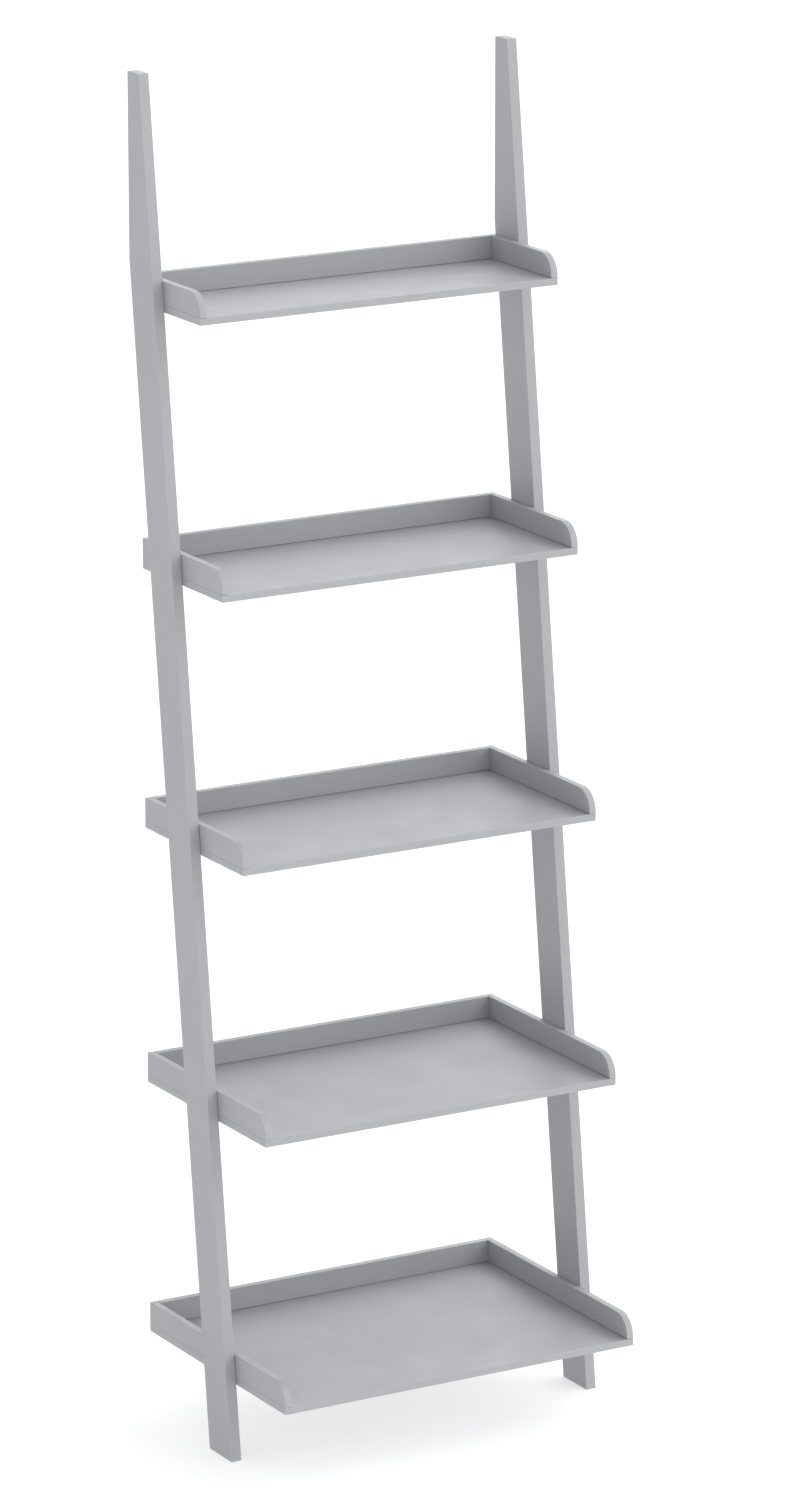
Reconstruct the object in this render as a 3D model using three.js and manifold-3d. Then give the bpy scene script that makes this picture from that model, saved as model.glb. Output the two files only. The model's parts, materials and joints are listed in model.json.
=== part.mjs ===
// Ladder shelf: two leaning rails that carry five open trays against a wall.
// Millimetres. +X is to the right of a person facing the shelf, +Y points to the wall, +Z is up.
// The origin is on the floor, under the middle of the overall box.

import * as THREE from "three";
import { mergeVertices } from "three/addons/utils/BufferGeometryUtils.js";
import Module from "manifold-3d";

const wasm = await Module();
wasm.setup();

// Overall size
const overallWidth = 600;
const overallHeight = 1932;
const clearance = 0.3; // left between pieces that touch

// Rails: each is one straight board, cut level at the foot and top and upright along the wall
const railThickness = 16;
const railDepth = 64.2; // front to back, measured level
const footSetback = 207; // from the wall to the rail's back edge, on the floor
const kneeHeight = 1671.4; // where the leaning back edge reaches the wall

// Trays, lowest first
const trayDepths = [398, 345, 286, 232.5, 174]; // from the wall to the front edge
const lowestTrayHeight = 108.2; // from the floor to the underside of the lowest tray
const trayPitch = 374.5;
const boardThickness = 10.4;
const lipHeight = 33.4; // how far the side and back boards stand above the base board
const lipCornerRadius = 31;

// Cam bolts: each screws into a rail, and a cam in the base board grips its head
const boltThreadRadius = 2.5;
const boltThreadLength = 11;
const boltNeckRadius = 2.2;
const boltHeadRadius = 3;
const boltHeadLength = 3.6;
const boltChamfer = 1;

// Cams: small discs let into the underside of the base board
const camRadius = 6;
const camHeight = 8.2;
const camFloor = 1.4; // thickness of the disc under its slot
const camInset = 24; // from the end of the base board to the cam's centre
const camSlotWidth = 7.2;
const camCrossReach = 3.6;
const camCrossDepth = 0.8;

// Dowels
const dowelRadius = 3;
const dowelChamfer = 1;
const dowelInRail = 10;
const dowelInBase = 20;
const fixingOffset = 16; // of the bolt and the dowel, before and behind the rail's middle

// Keyhole hanger plates, let into the rails' upright back faces
const plateWidth = 12;
const plateHeight = 46;
const plateThickness = 2;
const plateTopMargin = 22; // from the plate's top to the rail's top
const keyholeEyeRadius = 3.9;
const keyholeSlotRadius = 1.9;
const keyholeLength = 10; // from the eye's centre up to the end of the slot
const keyholeWellDepth = 9; // room in the rail for the wall screw's head
const screwSpacing = 34;
const screwLength = 12;
const screwShankRadius = 1.3;
const screwHeadRadius = 2.6;
const screwHeadHeight = 1.2;
const screwCrossReach = 1.6;
const screwCrossDepth = 0.7;

const roundSides = 12; // of a cylinder or a turned piece
const curveSteps = 6; // half the number of straight pieces in each arc of an outline
const overshoot = 1; // how far a cutting shape runs past the face that it opens

// Derived places
const wallY = trayDepths[0] / 2;
const railSlope = footSetback / kneeHeight;
const railCentreX = (overallWidth - railThickness) / 2;
const railInnerX = overallWidth / 2 - railThickness;
const trayHalfWidth = railInnerX - clearance;
const sideBoardX = trayHalfWidth - boardThickness / 2;
const backHalfWidth = sideBoardX - boardThickness / 2 - clearance;
const lipBottom = boardThickness + clearance;
const lipTop = boardThickness + lipHeight;
const plateZ = overallHeight - plateTopMargin - plateHeight / 2;

const greyPaint = { color: 0xb4b6b9, roughness: 0.45, metalness: 0 };
const beech = { color: 0xc9a77a, roughness: 0.8, metalness: 0 };
const zincSteel = { color: 0xb9bbbd, roughness: 0.35, metalness: 1 };

const ends = [
  { side: -1, word: "left" },
  { side: 1, word: "right" },
];

// From the wall, in y, to the middle of a rail at a height above the floor
function railMiddleY(height) {
  return railSlope * height - footSetback - railDepth / 2;
}

function trayUnderside(level) {
  return lowestTrayHeight + level * trayPitch;
}

function namedMesh(name, geometry, look) {
  const mesh = new THREE.Mesh(geometry, new THREE.MeshStandardMaterial(look));
  mesh.name = name;
  return mesh;
}

// Closed geometry to a solid that can be cut, and back

function toSolid(geometry) {
  const bare = geometry.clone();
  bare.deleteAttribute("normal");
  bare.deleteAttribute("uv");
  const merged = mergeVertices(bare);
  return new wasm.Manifold(new wasm.Mesh({
    numProp: 3,
    vertProperties: new Float32Array(merged.attributes.position.array),
    triVerts: new Uint32Array(merged.index.array),
  }));
}

function toGeometry(solid) {
  const mesh = solid.getMesh();
  const geometry = new THREE.BufferGeometry();
  geometry.setAttribute("position", new THREE.BufferAttribute(mesh.vertProperties, 3));
  geometry.setIndex(new THREE.BufferAttribute(mesh.triVerts, 1));
  geometry.computeVertexNormals();
  return geometry;
}

function cut(body, cutters) {
  let solid = toSolid(body);
  for (const cutter of cutters) {
    solid = solid.subtract(toSolid(cutter));
  }
  return toGeometry(solid);
}

// Simple shapes

// A box from its lowest corner to its highest
function box(low, high) {
  const size = high.map((value, axis) => value - low[axis]);
  const middle = high.map((value, axis) => (value + low[axis]) / 2);
  return new THREE.BoxGeometry(...size).translate(...middle);
}

// Cylinders along one axis, from one place on it to another
function cylinderX(radius, from, to, y, z) {
  const upright = new THREE.CylinderGeometry(radius, radius, Math.abs(to - from), roundSides);
  return upright.rotateZ(Math.PI / 2).translate((from + to) / 2, y, z);
}

function cylinderY(radius, from, to, x, z) {
  const upright = new THREE.CylinderGeometry(radius, radius, Math.abs(to - from), roundSides);
  return upright.translate(x, (from + to) / 2, z);
}

function cylinderZ(radius, from, to, x, y) {
  const upright = new THREE.CylinderGeometry(radius, radius, Math.abs(to - from), roundSides);
  return upright.rotateX(Math.PI / 2).translate(x, y, (from + to) / 2);
}

// A board whose outline is drawn in (y, z) and whose thickness is centred on x = 0
function sideOnBoard(outline, thickness) {
  const settings = { depth: thickness, bevelEnabled: false, curveSegments: curveSteps };
  const geometry = new THREE.ExtrudeGeometry(outline, settings);
  const turn = new THREE.Matrix4().makeBasis(
    new THREE.Vector3(0, 1, 0),
    new THREE.Vector3(0, 0, 1),
    new THREE.Vector3(1, 0, 0),
  );
  return geometry.applyMatrix4(turn).translate(-thickness / 2, 0, 0);
}

// A slot shape with half-round ends, upright in (x, z) about z = 0, from one y to another
function uprightSlot(radius, height, from, to) {
  const reach = height / 2 - radius;
  const outline = new THREE.Shape();
  outline.absarc(0, reach, radius, 0, Math.PI);
  outline.absarc(0, -reach, radius, Math.PI, 2 * Math.PI);
  outline.closePath();
  const settings = { depth: to - from, bevelEnabled: false, curveSegments: curveSteps };
  return new THREE.ExtrudeGeometry(outline, settings).rotateX(Math.PI / 2).translate(0, to, 0);
}

// A shape turned about +Y, from [radius, place along the axis] pairs that start and end on it
function turned(profile) {
  const points = profile.map(([radius, along]) => new THREE.Vector2(radius, along));
  return new THREE.LatheGeometry(points, roundSides);
}

// Two crossed bars that cut a screwdriver's cross, from one z to another
function crossBars(reach, from, to) {
  const half = reach / 5;
  return [
    box([-reach, -half, from], [reach, half, to]),
    box([-half, -reach, from], [half, reach, to]),
  ];
}

// Rails, in their own frame: x = 0 is mid-thickness, y = 0 is the wall, z = 0 is the floor

function railOutline() {
  const outline = new THREE.Shape();
  outline.moveTo(-footSetback - railDepth, 0);
  outline.lineTo(-footSetback, 0);
  outline.lineTo(0, kneeHeight);
  outline.lineTo(0, overallHeight);
  outline.lineTo(railSlope * overallHeight - footSetback - railDepth, overallHeight);
  outline.closePath();
  return outline;
}

// Blind holes in the rail's inner face for one tray's bolt and dowel
function railFixingHoles(side, level) {
  const z = trayUnderside(level) + boardThickness / 2;
  const y = railMiddleY(z);
  const face = railThickness / 2;
  const mouth = -side * (face + overshoot);
  const boltEnd = -side * (face - boltThreadLength - overshoot);
  const dowelEnd = -side * (face - dowelInRail - overshoot);
  return [
    cylinderX(boltThreadRadius + clearance, mouth, boltEnd, y - fixingOffset, z),
    cylinderX(dowelRadius + clearance, mouth, dowelEnd, y + fixingOffset, z),
  ];
}

// The plate's shallow seat, the well behind its keyhole and the two screw holes
function railHangerPocket() {
  const seatFloor = -plateThickness - clearance;
  const wellHeight = keyholeLength + 2 * keyholeEyeRadius;
  const seat = uprightSlot(
    plateWidth / 2 + clearance, plateHeight + 2 * clearance, seatFloor, overshoot,
  );
  const well = uprightSlot(keyholeEyeRadius, wellHeight, -keyholeWellDepth, overshoot);
  const screwHoles = [-1, 1].map((end) => cylinderY(
    screwShankRadius + clearance, -screwLength - overshoot, 0, 0, end * screwSpacing / 2,
  ));
  return [seat, well, ...screwHoles].map((cutter) => cutter.translate(0, 0, plateZ));
}

function railBoard(side) {
  const levels = [...trayDepths.keys()];
  const fixingHoles = levels.flatMap((level) => railFixingHoles(side, level));
  const body = sideOnBoard(railOutline(), railThickness);
  return cut(body, [...fixingHoles, ...railHangerPocket()]);
}

// Hanger plate with its back on y = 0, upright about z = 0
function hangerPlate() {
  const body = uprightSlot(plateWidth / 2, plateHeight, 0, plateThickness);
  const eyeZ = -keyholeLength / 2;
  const slotEndZ = keyholeLength / 2;
  const face = plateThickness + overshoot;
  const headSeat = plateThickness - screwHeadHeight - clearance;
  const screwHoles = [-1, 1].flatMap((end) => [
    cylinderY(screwShankRadius + clearance, -overshoot, face, 0, end * screwSpacing / 2),
    cylinderY(screwHeadRadius + clearance, headSeat, face, 0, end * screwSpacing / 2),
  ]);
  return cut(body, [
    cylinderY(keyholeEyeRadius, -overshoot, face, 0, eyeZ),
    box([-keyholeSlotRadius, -overshoot, eyeZ], [keyholeSlotRadius, face, slotEndZ]),
    cylinderY(keyholeSlotRadius, -overshoot, face, 0, slotEndZ),
    ...screwHoles,
  ]);
}

// Countersunk screw along Z, with the flat of its head on z = 0
function hangerScrew() {
  const headMiddle = -screwHeadHeight / 2;
  const shank = cylinderZ(screwShankRadius, -screwLength, headMiddle, 0, 0);
  const cone = new THREE.CylinderGeometry(
    screwHeadRadius, screwShankRadius, screwHeadHeight, roundSides,
  );
  const head = cone.rotateX(Math.PI / 2).translate(0, 0, headMiddle);
  const blank = toGeometry(toSolid(shank).add(toSolid(head)));
  return cut(blank, crossBars(screwCrossReach, -screwCrossDepth, overshoot));
}

// Tray boards, in the tray's own frame: y = 0 is the wall, z = 0 is the underside

function baseFixingHoles(side, fixingY) {
  const mouth = side * (trayHalfWidth + overshoot);
  const camX = side * (trayHalfWidth - camInset);
  const camY = fixingY - fixingOffset;
  const dowelEnd = side * (trayHalfWidth - dowelInBase - overshoot);
  const z = boardThickness / 2;
  return [
    cylinderX(boltHeadRadius + clearance, mouth, camX, camY, z),
    cylinderZ(camRadius + clearance, -overshoot, camHeight + 2 * clearance, camX, camY),
    cylinderX(dowelRadius + clearance, mouth, dowelEnd, fixingY + fixingOffset, z),
  ];
}

function baseBoard(depth, fixingY) {
  const body = box([-trayHalfWidth, -depth, 0], [trayHalfWidth, 0, boardThickness]);
  return cut(body, [-1, 1].flatMap((side) => baseFixingHoles(side, fixingY)));
}

function sideBoard(depth) {
  const cornerY = lipCornerRadius - depth;
  const cornerZ = lipTop - lipCornerRadius;
  const outline = new THREE.Shape();
  outline.moveTo(-depth, lipBottom);
  outline.lineTo(0, lipBottom);
  outline.lineTo(0, lipTop);
  outline.lineTo(cornerY, lipTop);
  outline.absarc(cornerY, cornerZ, lipCornerRadius, Math.PI / 2, Math.PI);
  outline.closePath();
  return sideOnBoard(outline, boardThickness);
}

function backBoard() {
  return box([-backHalfWidth, -boardThickness, lipBottom], [backHalfWidth, 0, lipTop]);
}

// Fixings along +Y, from their blind end in the rail

function camBolt() {
  const headStart = boltThreadLength + camInset - boltHeadLength / 2;
  const headEnd = headStart + boltHeadLength;
  return turned([
    [0, 0],
    [boltThreadRadius - boltChamfer, 0],
    [boltThreadRadius, boltChamfer],
    [boltThreadRadius, boltThreadLength],
    [boltNeckRadius, boltThreadLength + boltChamfer],
    [boltNeckRadius, headStart],
    [boltHeadRadius, headStart + boltChamfer],
    [boltHeadRadius, headEnd - boltChamfer],
    [boltHeadRadius - boltChamfer, headEnd],
    [0, headEnd],
  ]);
}

function dowel() {
  const length = dowelInRail + dowelInBase;
  return turned([
    [0, 0],
    [dowelRadius - dowelChamfer, 0],
    [dowelRadius, dowelChamfer],
    [dowelRadius, length - dowelChamfer],
    [dowelRadius - dowelChamfer, length],
    [0, length],
  ]);
}

// Its underside is on z = 0 and its slot opens towards -X, where the bolt comes from
function camDisc() {
  const slot = box(
    [-camRadius - overshoot, -camSlotWidth / 2, camFloor],
    [camSlotWidth / 2, camSlotWidth / 2, camHeight + overshoot],
  );
  const cross = crossBars(camCrossReach, -overshoot, camCrossDepth);
  return cut(cylinderZ(camRadius, 0, camHeight, 0, 0), [slot, ...cross]);
}

// Assembly

function hanger(word) {
  const group = new THREE.Group();
  group.position.z = plateZ;
  const plate = namedMesh(`hanger_plate_${word}`, hangerPlate(), zincSteel);
  plate.position.y = -plateThickness;
  group.add(plate);
  for (const [end, place] of [[-1, "lower"], [1, "upper"]]) {
    const screw = namedMesh(`hanger_screw_${word}_${place}`, hangerScrew(), zincSteel);
    screw.position.z = end * screwSpacing / 2;
    screw.rotation.x = -Math.PI / 2;
    group.add(screw);
  }
  return group;
}

function rail({ side, word }) {
  const group = new THREE.Group();
  group.position.set(side * railCentreX, wallY, 0);
  group.add(namedMesh(`rail_${word}`, railBoard(side), greyPaint));
  group.add(hanger(word));
  return group;
}

// The bolt, cam and dowel that join one end of a tray to its rail
function trayFixings(trayName, { side, word }, fixingY) {
  const z = boardThickness / 2;
  const alongX = side * Math.PI / 2; // turns +Y to point from the rail into the board

  const bolt = namedMesh(`${trayName}_cam_bolt_${word}`, camBolt(), zincSteel);
  bolt.position.set(side * (railInnerX + boltThreadLength), fixingY - fixingOffset, z);
  bolt.rotation.z = alongX;

  const cam = namedMesh(`${trayName}_cam_${word}`, camDisc(), zincSteel);
  cam.position.set(side * (trayHalfWidth - camInset), fixingY - fixingOffset, clearance);
  cam.rotation.z = side > 0 ? Math.PI : 0;

  const pin = namedMesh(`${trayName}_dowel_${word}`, dowel(), beech);
  pin.position.set(side * (railInnerX + dowelInRail), fixingY + fixingOffset, z);
  pin.rotation.z = alongX;

  return [bolt, cam, pin];
}

function tray(level) {
  const name = `tray_${level + 1}`;
  const depth = trayDepths[level];
  const fixingY = railMiddleY(trayUnderside(level) + boardThickness / 2);
  const group = new THREE.Group();
  group.position.set(0, wallY, trayUnderside(level));
  group.add(namedMesh(`${name}_base`, baseBoard(depth, fixingY), greyPaint));
  group.add(namedMesh(`${name}_back`, backBoard(), greyPaint));
  for (const end of ends) {
    const board = namedMesh(`${name}_side_${end.word}`, sideBoard(depth), greyPaint);
    board.position.x = end.side * sideBoardX;
    group.add(board, ...trayFixings(name, end, fixingY));
  }
  return group;
}

const shelf = new THREE.Group();
for (const end of ends) {
  shelf.add(rail(end));
}
for (const level of trayDepths.keys()) {
  shelf.add(tray(level));
}

export default shelf;
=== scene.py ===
"""Ladder shelf: painted boards with eased edges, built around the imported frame, in a white studio."""

import json
import math

import bmesh
import bpy
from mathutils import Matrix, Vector


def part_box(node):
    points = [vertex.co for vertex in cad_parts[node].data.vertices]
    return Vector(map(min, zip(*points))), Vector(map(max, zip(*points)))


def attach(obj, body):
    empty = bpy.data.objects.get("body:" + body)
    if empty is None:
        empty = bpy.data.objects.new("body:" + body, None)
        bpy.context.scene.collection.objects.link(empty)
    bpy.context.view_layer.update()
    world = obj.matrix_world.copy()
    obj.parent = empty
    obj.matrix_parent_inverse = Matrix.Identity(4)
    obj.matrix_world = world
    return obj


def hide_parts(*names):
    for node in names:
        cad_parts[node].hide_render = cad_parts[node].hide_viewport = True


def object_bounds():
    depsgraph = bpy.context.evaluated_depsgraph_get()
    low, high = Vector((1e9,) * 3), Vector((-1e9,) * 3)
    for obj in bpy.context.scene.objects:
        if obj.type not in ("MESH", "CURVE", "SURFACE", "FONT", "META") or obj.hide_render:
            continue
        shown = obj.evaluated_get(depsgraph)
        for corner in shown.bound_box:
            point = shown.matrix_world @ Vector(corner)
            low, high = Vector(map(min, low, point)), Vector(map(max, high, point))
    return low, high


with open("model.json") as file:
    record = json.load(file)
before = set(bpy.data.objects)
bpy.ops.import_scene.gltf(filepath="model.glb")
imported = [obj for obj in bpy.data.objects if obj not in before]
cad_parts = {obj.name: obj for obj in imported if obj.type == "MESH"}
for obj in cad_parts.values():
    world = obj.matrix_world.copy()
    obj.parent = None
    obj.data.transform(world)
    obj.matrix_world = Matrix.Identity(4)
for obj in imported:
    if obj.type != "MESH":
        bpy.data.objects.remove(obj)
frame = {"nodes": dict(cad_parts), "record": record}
cad_low, cad_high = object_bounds()

MM = 0.001
TRAYS = range(1, 6)
WORDS = ("left", "right")

# Places closer together than this count as the same place
TOUCH = 0.01 * MM

# Boards
EDGE_RADIUS = 0.8 * MM
EDGE_STEPS = 3
ROUND_PROFILE = 0.5
SHARP_ANGLE = math.radians(40)
FLAT_FACE_WEIGHT = 100
LIP_CORNER_RADIUS = 31 * MM
LIP_CORNER_STEPS = 24

# Fittings
ROUND_SIDES = 48
CLEARANCE = 0.3 * MM
OVERSHOOT = 1 * MM
HANGER_WELL_DEPTH = 9 * MM
KEYHOLE_EYE_RADIUS = 3.9 * MM
KEYHOLE_LENGTH = 10 * MM
SCREW_SHANK_RADIUS = 1.3 * MM

# Camera: where it stands, seen from near the middle of the object
CAMERA_AZIMUTH = -30.04
CAMERA_ELEVATION = 15.10
CAMERA_DISTANCE = 9.779
CAMERA_LENS = 167.96
CAMERA_REACH = 100
AIM_OFFSET = Vector((14.0, 0, 10.4)) * MM

# Studio: lengths in metres, and each light's name, azimuth, elevation and strength
FLOOR_SIZE = 60
FLOOR_DROP = 0.2 * MM
SKY_AT_HORIZON = 1.04
SKY_OVERHEAD = 0.74
LIGHT_SPREAD = 50
SOFT_LIGHTS = (
    ("front_light", 10, 25, 0.33),
    ("right_front_light", 50, 25, 0.74),
    ("right_back_light", 130, 25, 0.87),
    ("right_top_light", 90, 55, 0.72),
)


# Meshes


def quads_between(bm, ring_a, ring_b):
    count = len(ring_a)
    for i in range(count):
        j = (i + 1) % count
        bm.faces.new((ring_a[i], ring_a[j], ring_b[j], ring_b[i]))


def prism(outline, place, low, high):
    """A solid with an outline of 2-D points; place(u, v, w) gives the 3-D point at depth w."""
    bm = bmesh.new()
    near = [bm.verts.new(place(u, v, low)) for u, v in outline]
    far = [bm.verts.new(place(u, v, high)) for u, v in outline]
    bm.faces.new(near)
    bm.faces.new(far)
    quads_between(bm, near, far)
    bmesh.ops.recalc_face_normals(bm, faces=bm.faces)
    return bm


def along_x(y, z, x):
    return (x, y, z)


def along_y(x, z, y):
    return (x, y, z)


def along_z(x, y, z):
    return (x, y, z)


def rectangle(low_u, low_v, high_u, high_v):
    return [(low_u, low_v), (high_u, low_v), (high_u, high_v), (low_u, high_v)]


def arc(u, v, radius, start, end, steps):
    """Points on an arc about (u, v), with angles in degrees, both ends included."""
    angles = [math.radians(start + (end - start) * i / steps) for i in range(steps + 1)]
    return [(u + radius * math.cos(a), v + radius * math.sin(a)) for a in angles]


def circle(u, v, radius):
    return arc(u, v, radius, 0, 360, ROUND_SIDES)[:-1]


def upright_slot(u, v, radius, height):
    """A slot shape with half-round ends, taller than it is wide."""
    reach = height / 2 - radius
    half = ROUND_SIDES // 2
    return arc(u, v + reach, radius, 0, 180, half) + arc(u, v - reach, radius, 180, 360, half)


def meets(a, b):
    return abs(a - b) < TOUCH


def ease(bm, in_joint=None):
    """Rounds the sharp edges, but not those whose middle lies in a joint with another board."""
    edges = []
    for edge in bm.edges:
        middle = (edge.verts[0].co + edge.verts[1].co) / 2
        glued = in_joint and in_joint(middle)
        if edge.calc_face_angle() > SHARP_ANGLE and not glued:
            edges.append(edge)
    bmesh.ops.bevel(
        bm, geom=edges, offset=EDGE_RADIUS, offset_type="OFFSET", segments=EDGE_STEPS,
        profile=ROUND_PROFILE, affect="EDGES", clamp_overlap=True,
    )
    return bm


def link_mesh(name, bm):
    mesh = bpy.data.meshes.new(name)
    bm.to_mesh(mesh)
    bm.free()
    made = bpy.data.objects.new(name, mesh)
    bpy.context.scene.collection.objects.link(made)
    return made


def cut(piece, cutters):
    """Takes each cutter away from the piece's mesh, with nothing left as a modifier."""
    tools = [link_mesh("cutter", bm) for bm in cutters]
    for tool in tools:
        step = piece.modifiers.new("cut", "BOOLEAN")
        step.operation = "DIFFERENCE"
        step.solver = "EXACT"
        step.object = tool
    graph = bpy.context.evaluated_depsgraph_get()
    cut_mesh = bpy.data.meshes.new_from_object(piece.evaluated_get(graph))
    piece.modifiers.clear()
    piece.data = cut_mesh
    for tool in tools:
        bpy.data.objects.remove(tool)


def finish_piece(piece, look, slot, *nodes):
    """Shades a piece, paints it, and makes it ride in place of its CAD nodes."""
    piece.data.shade_smooth()
    piece.data.set_sharp_from_angle(angle=SHARP_ANGLE)
    flat_faces = piece.modifiers.new("flat faces", "WEIGHTED_NORMAL")
    flat_faces.keep_sharp = True
    flat_faces.weight = FLAT_FACE_WEIGHT
    piece.data.materials.clear()
    piece.data.materials.append(look)
    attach(piece, "root")
    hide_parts(*nodes)
    return piece


# Materials: noise scales are in features to the metre, and finish values run from low to high

# Most of a noise texture's values lie between these two
NOISE_LOW = 0.3
NOISE_HIGH = 0.7

# How well the softened and the true normal agree, on an edge and beside it
EDGE_TURNED = 0.93
EDGE_FLAT = 0.995
EDGE_REACH = 1.2 * MM

PAINT = (0.337, 0.345, 0.364)
PAINT_LIGHT = (0.351, 0.359, 0.378)
# Paler colour on the eased edges: partly rubbed thin paint, partly a painted highlight
PAINT_EDGE_WEAR_AND_HIGHLIGHT = (0.430, 0.438, 0.456)
PAINT_EDGE_WEAR_AND_HIGHLIGHT_SHARE = (0.2, 0.9)
PAINT_ROUGHNESS = (0.44, 0.54)
PAINT_IOR = 1.45
PAINT_CLOUDS = 5.0
PAINT_WEAR_AND_HIGHLIGHT_PATCHES = 60.0
PAINT_SHEEN_PATCHES = 18.0
PEEL = 650.0
PEEL_HEIGHT = 0.04 * MM
ROLLED_WAVES = 45.0
ROLLED_HEIGHT = 0.10 * MM

ZINC_DARK = (0.50, 0.51, 0.53)
ZINC_BRIGHT = (0.68, 0.69, 0.70)
ZINC_ROUGHNESS = (0.24, 0.42)
ZINC_MOTTLE = 900.0
ZINC_GRAIN = 2500.0
ZINC_PITS = 3000.0
ZINC_PIT_DEPTH = 0.01 * MM

BEECH_DARK = (0.46, 0.28, 0.14)
BEECH_PALE = (0.66, 0.46, 0.26)
BEECH_ROUGHNESS = (0.6, 0.8)
FIBRES_ALONG = 60
FIBRES_ACROSS = 1600
FIBRE_HEIGHT = 0.05 * MM

FLOOR_GREY = (0.49, 0.49, 0.49)
FLOOR_PALE = (0.51, 0.51, 0.51)
FLOOR_CLOUDS = 0.8
FLOOR_ROUGHNESS = 0.9
FLOOR_GLOW = 0.55


class Look:
    """A node material with a Principled shader and a few short ways to add nodes to it."""

    def __init__(self, name):
        self.material = bpy.data.materials.new(name)
        self.material.use_nodes = True
        self.tree = self.material.node_tree
        self.shader = self.tree.nodes["Principled BSDF"]
        self.place = self.node("ShaderNodeTexCoord").outputs["Object"]

    def node(self, kind, **inputs):
        made = self.tree.nodes.new(kind)
        for name, value in inputs.items():
            self.feed(made.inputs[name.replace("_", " ")], value)
        return made

    def feed(self, socket, value):
        if isinstance(value, bpy.types.NodeSocket):
            self.tree.links.new(value, socket)
        else:
            socket.default_value = value

    def stretched(self, scale):
        """The object's own coordinates in metres, multiplied along each axis."""
        mapping = self.node("ShaderNodeMapping", Vector=self.place)
        mapping.inputs["Scale"].default_value = scale
        return mapping.outputs["Vector"]

    def noise(self, scale, detail=3.0, vector=None):
        made = self.node(
            "ShaderNodeTexNoise", Vector=vector or self.place, Scale=scale, Detail=detail,
        )
        return made.outputs["Fac"]

    def ranged(self, value, low, high, start=NOISE_LOW, end=NOISE_HIGH):
        """Carries a value that runs from start to end over to low to high."""
        made = self.node("ShaderNodeMapRange", Value=value)
        made.inputs["From Min"].default_value = start
        made.inputs["From Max"].default_value = end
        made.inputs["To Min"].default_value = low
        made.inputs["To Max"].default_value = high
        return made.outputs["Result"]

    def mixed(self, share, colour_a, colour_b):
        made = self.tree.nodes.new("ShaderNodeMix")
        made.data_type = "RGBA"
        self.feed(made.inputs["Factor"], share)
        for socket, colour in ((made.inputs[6], colour_a), (made.inputs[7], colour_b)):
            self.feed(socket, (*colour, 1) if isinstance(colour, tuple) else colour)
        return made.outputs[2]

    def bump(self, height, distance, strength=1.0, normal=None):
        made = self.node("ShaderNodeBump", Height=height, Distance=distance, Strength=strength)
        if normal:
            self.feed(made.inputs["Normal"], normal)
        return made.outputs["Normal"]

    def near_edges(self, radius):
        """1 where a rounded edge turns away from its faces, and 0 on flat faces."""
        soft = self.node("ShaderNodeBevel", Radius=radius)
        geometry = self.node("ShaderNodeNewGeometry")
        turn = self.tree.nodes.new("ShaderNodeVectorMath")
        turn.operation = "DOT_PRODUCT"
        self.feed(turn.inputs[0], soft.outputs["Normal"])
        self.feed(turn.inputs[1], geometry.outputs["True Normal"])
        return self.ranged(turn.outputs["Value"], 1, 0, start=EDGE_TURNED, end=EDGE_FLAT)


def grey_paint():
    """Satin paint with a faint orange peel, a little paler in patches on the edges, partly as rubbed
    thin paint and partly as a painted highlight that brightens the rims.
    """
    look = Look("grey_paint")
    cloudy = look.ranged(look.noise(PAINT_CLOUDS), 0, 1)
    body = look.mixed(cloudy, PAINT, PAINT_LIGHT)
    # Eased edges turn paler in patches: partly rubbed thin paint, partly a painted highlight that
    # brightens the rims
    wear_and_highlight_patches = look.noise(PAINT_WEAR_AND_HIGHLIGHT_PATCHES)
    edge = look.node("ShaderNodeMath", Value=look.near_edges(EDGE_REACH))
    edge.operation = "MULTIPLY"
    look.feed(edge.inputs[1], look.ranged(wear_and_highlight_patches, *PAINT_EDGE_WEAR_AND_HIGHLIGHT_SHARE))
    look.feed(look.shader.inputs["Base Color"], look.mixed(edge.outputs["Value"], body, PAINT_EDGE_WEAR_AND_HIGHLIGHT))
    patches = look.noise(PAINT_SHEEN_PATCHES)
    look.feed(look.shader.inputs["Roughness"], look.ranged(patches, *PAINT_ROUGHNESS))
    peel = look.bump(look.noise(PEEL, detail=2.0), PEEL_HEIGHT)
    rolled = look.bump(look.noise(ROLLED_WAVES, detail=1.0), ROLLED_HEIGHT, normal=peel)
    look.feed(look.shader.inputs["Normal"], rolled)
    look.shader.inputs["IOR"].default_value = PAINT_IOR
    return look.material


def zinc_steel():
    """Bright zinc plate with fine mottling."""
    look = Look("zinc_steel")
    look.shader.inputs["Metallic"].default_value = 1
    mottle = look.ranged(look.noise(ZINC_MOTTLE), 0, 1)
    look.feed(look.shader.inputs["Base Color"], look.mixed(mottle, ZINC_DARK, ZINC_BRIGHT))
    grain = look.noise(ZINC_GRAIN)
    look.feed(look.shader.inputs["Roughness"], look.ranged(grain, *ZINC_ROUGHNESS))
    look.feed(look.shader.inputs["Normal"], look.bump(look.noise(ZINC_PITS), ZINC_PIT_DEPTH))
    return look.material


def beech():
    """Bare beech with its grain along the dowel."""
    look = Look("beech")
    grain = look.stretched((FIBRES_ALONG, FIBRES_ACROSS, FIBRES_ACROSS))
    fibres = look.noise(1.0, vector=grain)
    colour = look.mixed(look.ranged(fibres, 0, 1), BEECH_DARK, BEECH_PALE)
    look.feed(look.shader.inputs["Base Color"], colour)
    look.feed(look.shader.inputs["Roughness"], look.ranged(fibres, *BEECH_ROUGHNESS))
    look.feed(look.shader.inputs["Normal"], look.bump(fibres, FIBRE_HEIGHT))
    return look.material


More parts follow.
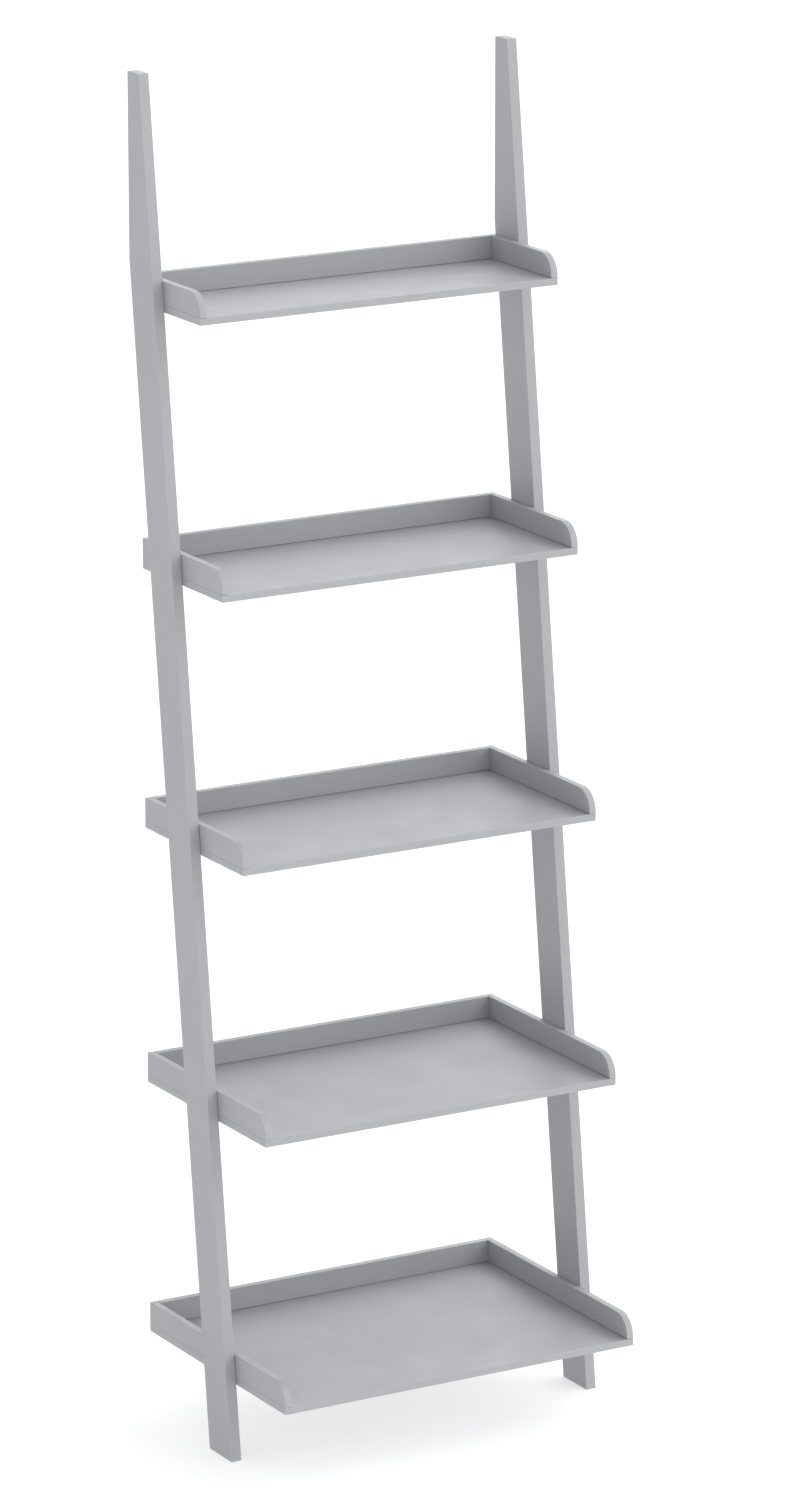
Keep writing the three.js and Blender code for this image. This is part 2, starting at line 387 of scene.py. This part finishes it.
def lit_floor():
    """Pale diffusing sheet lit from below, as on a product table, so that shadows stay faint."""
    look = Look("lit_floor")
    shade = look.mixed(look.ranged(look.noise(FLOOR_CLOUDS), 0, 1), FLOOR_GREY, FLOOR_PALE)
    look.feed(look.shader.inputs["Base Color"], shade)
    look.shader.inputs["Roughness"].default_value = FLOOR_ROUGHNESS
    look.shader.inputs["Emission Color"].default_value = (1, 1, 1, 1)
    look.shader.inputs["Emission Strength"].default_value = FLOOR_GLOW
    return look.material


# Rails


def rail_outline(node):
    """The (y, z) corners of a rail's outer face, in order round it."""
    board = frame["nodes"][node].data
    outer = max((v.co.x for v in board.vertices), key=abs)
    face = [v.co for v in board.vertices if meets(v.co.x, outer)]
    corners = {(round(p.y, 5), round(p.z, 5)) for p in face}
    middle_y = sum(y for y, z in corners) / len(corners)
    middle_z = sum(z for y, z in corners) / len(corners)
    return sorted(corners, key=lambda p: math.atan2(p[1] - middle_z, p[0] - middle_y))


def hanger_pocket(word):
    """Cutters for the hanger plate's seat and the well behind its keyhole."""
    low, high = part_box(f"hanger_plate_{word}")
    x = (low.x + high.x) / 2
    z = (low.z + high.z) / 2
    width = high.x - low.x + 2 * CLEARANCE
    height = high.z - low.z + 2 * CLEARANCE
    seat = prism(
        upright_slot(x, z, width / 2, height), along_y, low.y - CLEARANCE, high.y + OVERSHOOT,
    )
    well_height = KEYHOLE_LENGTH + 2 * KEYHOLE_EYE_RADIUS
    well = prism(
        upright_slot(x, z, KEYHOLE_EYE_RADIUS, well_height), along_y,
        high.y - HANGER_WELL_DEPTH, high.y + OVERSHOOT,
    )
    return [seat, well]


def screw_holes(word):
    """Cutters for the two screws that hold a hanger plate."""
    holes = []
    for place in ("lower", "upper"):
        low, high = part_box(f"hanger_screw_{word}_{place}")
        x = (low.x + high.x) / 2
        z = (low.z + high.z) / 2
        outline = circle(x, z, SCREW_SHANK_RADIUS + CLEARANCE)
        holes.append(prism(outline, along_y, low.y - OVERSHOOT, high.y + OVERSHOOT))
    return holes


def fixing_hole(node, low_x, high_x):
    """A cutter for the bore round one bolt or dowel, along X between two places."""
    low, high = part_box(node)
    y = (low.y + high.y) / 2
    z = (low.z + high.z) / 2
    radius = (high.z - low.z) / 2 + CLEARANCE
    start = max(low.x - OVERSHOOT, low_x)
    end = min(high.x + OVERSHOOT, high_x)
    return prism(circle(y, z, radius), along_x, start, end)


def build_rail(word, look):
    node = f"rail_{word}"
    low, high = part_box(node)
    board = prism(rail_outline(node), along_x, low.x, high.x)
    rail = link_mesh(f"rail_board_{word}", ease(board))
    if word == "left":
        reach = (low.x, high.x + OVERSHOOT)
    else:
        reach = (low.x - OVERSHOOT, high.x)
    bores = [
        fixing_hole(f"tray_{tray}_{kind}_{word}", *reach)
        for tray in TRAYS for kind in ("cam_bolt", "dowel")
    ]
    cut(rail, hanger_pocket(word) + screw_holes(word) + bores)
    finish_piece(rail, look, "grey_paint", node)


# Trays


def build_base(tray, look):
    low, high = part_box(f"tray_{tray}_base")

    def under_lip(middle):
        return meets(middle.z, high.z) and not meets(middle.y, low.y)

    outline = rectangle(low.x, low.y, high.x, high.y)
    board = prism(outline, along_z, low.z, high.z)
    base = link_mesh(f"tray_{tray}_base_board", ease(board, under_lip))
    cutters = []
    for word in WORDS:
        cam_low, cam_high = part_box(f"tray_{tray}_cam_{word}")
        radius = (cam_high.y - cam_low.y) / 2
        y = (cam_low.y + cam_high.y) / 2
        # the cam's slot shortens it on the side of the rail, so its far side places it
        x = cam_high.x - radius if word == "left" else cam_low.x + radius
        pocket = circle(x, y, radius + CLEARANCE)
        cutters.append(prism(pocket, along_z, low.z - OVERSHOOT, cam_high.z + CLEARANCE))
        for kind in ("cam_bolt", "dowel"):
            ends = (low.x - OVERSHOOT, high.x + OVERSHOOT)
            cutters.append(fixing_hole(f"tray_{tray}_{kind}_{word}", *ends))
    cut(base, cutters)
    finish_piece(base, look, "grey_paint", f"tray_{tray}_base")


def build_side(tray, word, look):
    node = f"tray_{tray}_side_{word}"
    low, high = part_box(node)
    corner_y = low.y + LIP_CORNER_RADIUS
    corner_z = high.z - LIP_CORNER_RADIUS
    corner = arc(corner_y, corner_z, LIP_CORNER_RADIUS, 90, 180, LIP_CORNER_STEPS)
    outline = [(low.y, low.z), (high.y, low.z), (high.y, high.z), *corner]
    inner_x = high.x if word == "left" else low.x

    def on_base(middle):
        return meets(middle.z, low.z) and not meets(middle.x, inner_x)

    board = prism(outline, along_x, low.x, high.x)
    side = link_mesh(f"tray_{tray}_side_board_{word}", ease(board, on_base))
    finish_piece(side, look, "grey_paint", node)


def build_back(tray, look):
    node = f"tray_{tray}_back"
    low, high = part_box(node)
    outline = rectangle(low.y, low.z, high.y, high.z)

    def on_neighbour(middle):
        on_base = meets(middle.z, low.z) and meets(middle.y, high.y)
        return on_base or meets(middle.x, low.x) or meets(middle.x, high.x)

    board = prism(outline, along_x, low.x, high.x)
    back = link_mesh(f"tray_{tray}_back_board", ease(board, on_neighbour))
    finish_piece(back, look, "grey_paint", node)


def build_tray(tray, look):
    build_base(tray, look)
    build_back(tray, look)
    for word in WORDS:
        build_side(tray, word, look)


# Studio


def add_floor():
    half = FLOOR_SIZE / 2
    bm = bmesh.new()
    corners = [bm.verts.new((x, y, -FLOOR_DROP)) for x, y in rectangle(-half, -half, half, half)]
    bm.faces.new(corners)
    floor = link_mesh("floor", bm)
    floor.data.materials.append(lit_floor())


def add_world():
    """A white tent, a little dimmer overhead than at the horizon."""
    world = bpy.data.worlds.new("studio")
    world.use_nodes = True
    nodes = world.node_tree.nodes
    place = nodes.new("ShaderNodeTexCoord")
    parts = nodes.new("ShaderNodeSeparateXYZ")
    strength = nodes.new("ShaderNodeMapRange")
    strength.inputs["To Min"].default_value = SKY_AT_HORIZON
    strength.inputs["To Max"].default_value = SKY_OVERHEAD
    sky = nodes["Background"]
    sky.inputs["Color"].default_value = (1, 1, 1, 1)
    links = world.node_tree.links
    links.new(place.outputs["Generated"], parts.inputs["Vector"])
    links.new(parts.outputs["Z"], strength.inputs["Value"])
    links.new(strength.outputs["Result"], sky.inputs["Strength"])
    bpy.context.scene.world = world


def direction_to(azimuth, elevation):
    """The unit vector to a place seen at these angles in degrees; azimuth 0 is the front."""
    turn = math.radians(azimuth)
    lift = math.radians(elevation)
    return Vector((
        math.sin(turn) * math.cos(lift), -math.cos(turn) * math.cos(lift), math.sin(lift),
    ))


def add_soft_light(name, azimuth, elevation, strength):
    """A broad, even light from far away, as a large diffuser gives."""
    lamp = bpy.data.lights.new(name, "SUN")
    lamp.energy = strength
    lamp.angle = math.radians(LIGHT_SPREAD)
    holder = bpy.data.objects.new(name, lamp)
    aim = -direction_to(azimuth, elevation)
    holder.rotation_euler = aim.to_track_quat("-Z", "Y").to_euler()
    bpy.context.scene.collection.objects.link(holder)


def add_camera():
    aim = (cad_low + cad_high) / 2 + AIM_OFFSET
    back = direction_to(CAMERA_AZIMUTH, CAMERA_ELEVATION)
    camera = bpy.data.objects.new("camera", bpy.data.cameras.new("camera"))
    camera.data.lens = CAMERA_LENS
    camera.data.clip_end = CAMERA_REACH
    camera.location = aim + back * CAMERA_DISTANCE
    camera.rotation_euler = (-back).to_track_quat("-Z", "Y").to_euler()
    bpy.context.scene.collection.objects.link(camera)
    bpy.context.scene.camera = camera


def main():
    add_camera()
    paint = grey_paint()
    for word in WORDS:
        build_rail(word, paint)
    for tray in TRAYS:
        build_tray(tray, paint)

    looks = {"zinc_steel": zinc_steel(), "beech": beech()}
    for subpart in frame["record"]["subparts"]:
        look = looks.get(subpart["material_slot"])
        if look:
            materials = frame["nodes"][subpart["node"]].data.materials
            materials.clear()
            materials.append(look)

    add_floor()
    add_world()
    for name, azimuth, elevation, strength in SOFT_LIGHTS:
        add_soft_light(name, azimuth, elevation, strength)
    bpy.context.scene.view_settings.view_transform = "Standard"


main()
